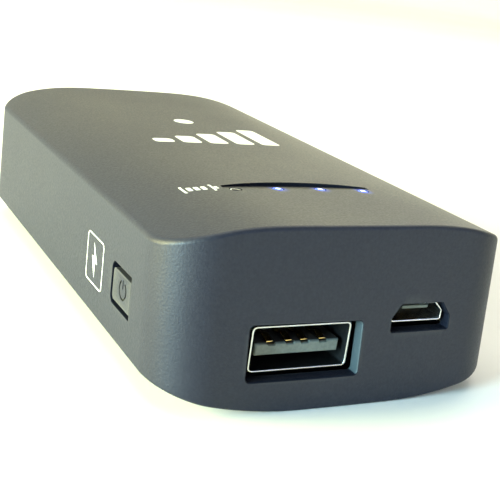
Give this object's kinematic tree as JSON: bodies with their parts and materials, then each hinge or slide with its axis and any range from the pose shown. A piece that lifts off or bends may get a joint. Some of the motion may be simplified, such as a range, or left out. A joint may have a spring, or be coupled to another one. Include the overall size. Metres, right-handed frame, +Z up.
{
  "type": "mobile hotspot",
  "caption": "Pocket-size battery powered wireless hotspot with a crowned grey case, a full-size USB socket, a micro-USB socket, a side power button and a row of status lights.",
  "frame": {"origin": "middle of the footprint, on the surface that the case rests on", "axes": "+Y from the end with the ports to the rear end, +Z up through the lights, and the power button on the -X side"},
  "size_m": [0.0472, 0.086, 0.0217],
  "materials": {
    "case_plastic": "fine matt soft-touch coating, grey",
    "screw_steel": "zinc plated",
    "board_laminate": "green solder mask on glass laminate",
    "chip_black": "moulded epoxy",
    "plated_steel": "bright tin or nickel plating",
    "ferrite": "sintered ferrite",
    "capacitor_can": "satin can",
    "led_package": "white resin with a clear window",
    "light_guide_clear": "clear moulded acrylic",
    "dark_plastic": "glass filled nylon",
    "pale_plastic": "pale grey-green thermoplastic",
    "contact_gold": "gold plated",
    "cell_steel": "nickel plated can",
    "electrode_roll": null,
    "nickel": "nickel sheet",
    "cell_wrap": "heat-shrink film",
    "red_insulation": "wire insulation",
    "black_insulation": "wire insulation",
    "insulating_card": "pressed fibre card",
    "foam": "closed-cell foam"
  },
  "bodies": {
    "case": {"upper_shell": "case_plastic", "bottom_cover": "case_plastic", "case_screw_1": "screw_steel", "case_screw_2": "screw_steel", "board_screw_1": "screw_steel", "board_screw_2": "screw_steel", "main_board": "board_laminate", "wifi_soc": "chip_black", "memory_chip": "chip_black", "flash_chip": "chip_black", "charge_ic": "chip_black", "crystal": "plated_steel", "usb_a_shell": "plated_steel", "micro_usb_shell": "plated_steel", "switch_plate": "plated_steel", "wifi_antenna": "plated_steel", "boost_inductor": "ferrite", "output_capacitor_1": "capacitor_can", "output_capacitor_2": "capacitor_can", "status_led_1": "led_package", "status_led_2": "led_package", "status_led_3": "led_package", "status_led_4": "led_package", "light_guide": "light_guide_clear", "switch_body": "dark_plastic", "micro_usb_insulator": "dark_plastic", "usb_a_insulator": "pale_plastic", "usb_a_contact_1": "contact_gold", "usb_a_contact_2": "contact_gold", "usb_a_contact_3": "contact_gold", "usb_a_contact_4": "contact_gold", "micro_usb_contact_1": "contact_gold", "micro_usb_contact_2": "contact_gold", "micro_usb_contact_3": "contact_gold", "micro_usb_contact_4": "contact_gold", "micro_usb_contact_5": "contact_gold", "cell_can_left": "cell_steel", "cell_can_right": "cell_steel", "cell_core_left": "electrode_roll", "cell_core_right": "electrode_roll", "cell_cap_left": "nickel", "cell_cap_right": "nickel", "positive_strip": "nickel", "negative_strip": "nickel", "cell_sleeve_left": "cell_wrap", "cell_sleeve_right": "cell_wrap", "positive_lead": "red_insulation", "negative_lead": "black_insulation", "insulator_card": "insulating_card", "rear_foam": "foam"},
    "power_button": {"power_button": "case_plastic"},
    "switch_plunger": {"switch_plunger": "dark_plastic"}
  },
  "joints": [
    {"name": "power_button_press", "type": "hinge", "parent": "case", "child": "power_button", "pos_m": [-0.0235, -0.03115, 0.0099], "axis": [0, 0, -1], "range_deg": [0, 3.1], "stiffness_Nm_per_rad": 0.08},
    {"name": "switch_plunger_travel", "type": "slide", "parent": "case", "child": "switch_plunger", "axis": [1, 0, 0], "range_m": [0, 0.00026]}
  ],
  "couplings": [
    {"joint": "switch_plunger_travel", "follows": "power_button_press", "m_per_rad": 0.00455}
  ]
}
